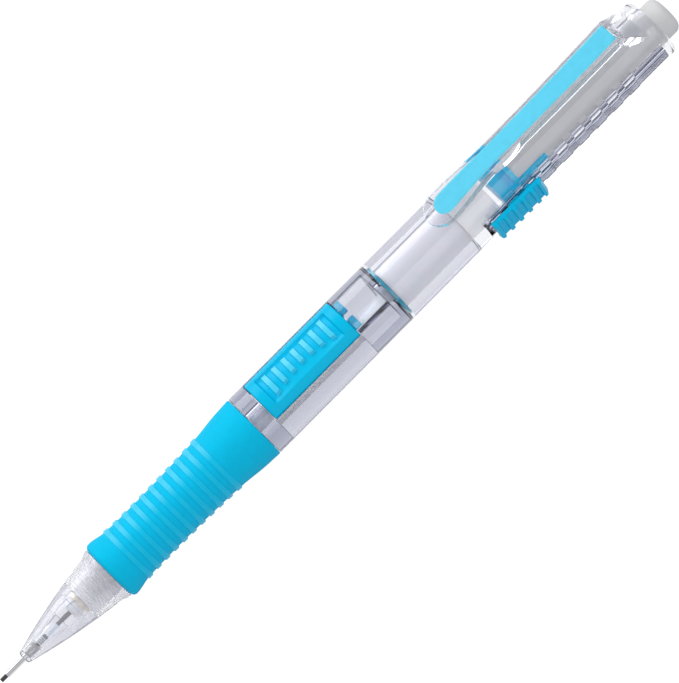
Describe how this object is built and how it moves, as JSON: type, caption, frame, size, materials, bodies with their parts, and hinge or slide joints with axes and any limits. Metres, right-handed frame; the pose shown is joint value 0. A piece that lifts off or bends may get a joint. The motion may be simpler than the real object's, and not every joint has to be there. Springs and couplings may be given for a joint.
{
  "type": "mechanical pencil",
  "caption": "Side-click mechanical pencil with clear barrels, a ribbed soft grip, a side button, a spring clip and an eraser on a thumb slider.",
  "frame": {"origin": "the writing end of the lead, on the pencil's axis", "axes": "+X along the axis from the writing end to the eraser, +Z towards the clip and the side button, -Y towards the eraser's thumb slider"},
  "size_m": [0.147, 0.0128, 0.0142],
  "materials": {
    "clear_plastic": "clear gloss",
    "milky_plastic": "translucent satin",
    "blue_rubber": "satin",
    "blue_plastic": "gloss",
    "pale_blue_plastic": "gloss",
    "steel": "drawn",
    "brass": "turned",
    "dark_rubber": "matt",
    "graphite": "matt with a slight sheen",
    "eraser_vinyl": "matt"
  },
  "bodies": {
    "front_body": {"front_barrel": "clear_plastic", "grip_sleeve": "blue_rubber"},
    "nozzle_unit": {"nozzle": "clear_plastic", "lead_sleeve": "steel", "lead_retainer": "dark_rubber"},
    "button": {"side_button": "blue_plastic"},
    "chuck_unit": {"chuck": "milky_plastic", "lead_tube": "milky_plastic", "cam_slider": "milky_plastic", "chuck_spring": "steel", "spare_leads": "graphite"},
    "clutch": {"clutch_ring": "brass"},
    "lead_in_use": {"lead": "graphite"},
    "rear_body": {"middle_tube": "clear_plastic", "joint_ring": "blue_plastic", "lead_magazine": "milky_plastic", "eraser_housing": "clear_plastic"},
    "clip": {"clip_blade": "clear_plastic", "clip_inlay": "pale_blue_plastic"},
    "eraser_unit": {"eraser_holder": "blue_plastic", "slider_knob": "blue_plastic", "eraser": "eraser_vinyl"}
  },
  "joints": [
    {"name": "button_press", "type": "slide", "parent": "front_body", "child": "button", "axis": [0, 0, -1], "range_m": [0, 0.0015], "stiffness_N_per_m": 400, "springref_m": -0.001},
    {"name": "chuck_advance", "type": "slide", "parent": "front_body", "child": "chuck_unit", "axis": [-1, 0, 0], "range_m": [0, 0.0015], "deforming": ["chuck_spring"]},
    {"name": "clutch_travel", "type": "slide", "parent": "front_body", "child": "clutch", "axis": [-1, 0, 0], "range_m": [0, 0.00075]},
    {"name": "lead_feed", "type": "slide", "parent": "front_body", "child": "lead_in_use", "axis": [-1, 0, 0], "range_m": [-0.0012, 0.005]},
    {"name": "nozzle_off", "type": "slide", "parent": "front_body", "child": "nozzle_unit", "axis": [-1, 0, 0], "range_m": [0, 0.012]},
    {"name": "rear_pull", "type": "slide", "parent": "front_body", "child": "rear_body", "axis": [1, 0, 0], "range_m": [0, 0.03]},
    {"name": "clip_flex", "type": "hinge", "parent": "rear_body", "child": "clip", "pos_m": [0.1374, 0, 0.00845], "axis": [0, 1, 0], "range_deg": [0, 5], "stiffness_Nm_per_rad": 1.6, "springref_deg": -2.29},
    {"name": "eraser_slide", "type": "slide", "parent": "rear_body", "child": "eraser_unit", "axis": [1, 0, 0], "range_m": [-0.001, 0.0248]}
  ],
  "couplings": [
    {"joint": "chuck_advance", "follows": "button_press", "ratio": 1},
    {"joint": "clutch_travel", "follows": "button_press", "ratio": 0.5}
  ]
}
